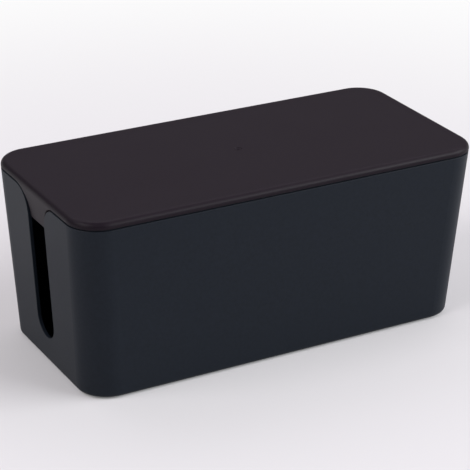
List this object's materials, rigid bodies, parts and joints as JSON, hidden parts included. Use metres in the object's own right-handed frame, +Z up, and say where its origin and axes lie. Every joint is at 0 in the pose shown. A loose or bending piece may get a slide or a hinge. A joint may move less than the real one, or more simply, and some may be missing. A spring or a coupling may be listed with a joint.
{
  "type": "cable management box",
  "caption": "Rectangular box with rounded corners that hides a power strip, with a lift-off lid and a cable slot in each end.",
  "frame": {"origin": "middle of the box's footprint, on the surface that its feet stand on", "axes": "+X along the box from slot to slot, +Y across it towards the rear, +Z up"},
  "size_m": [0.3194, 0.1506, 0.136],
  "materials": {
    "body_plastic": "matte, fine moulded grain",
    "foot_rubber": "matte"
  },
  "bodies": {
    "tub_body": {"tub": "body_plastic", "foot_front_left": "foot_rubber", "foot_front_right": "foot_rubber", "foot_rear_left": "foot_rubber", "foot_rear_right": "foot_rubber"},
    "lid_body": {"lid": "body_plastic"}
  },
  "joints": [
    {"name": "lid_lift", "type": "slide", "parent": "tub_body", "child": "lid_body", "axis": [0, 0, 1], "range_m": [0, 0.15]}
  ]
}
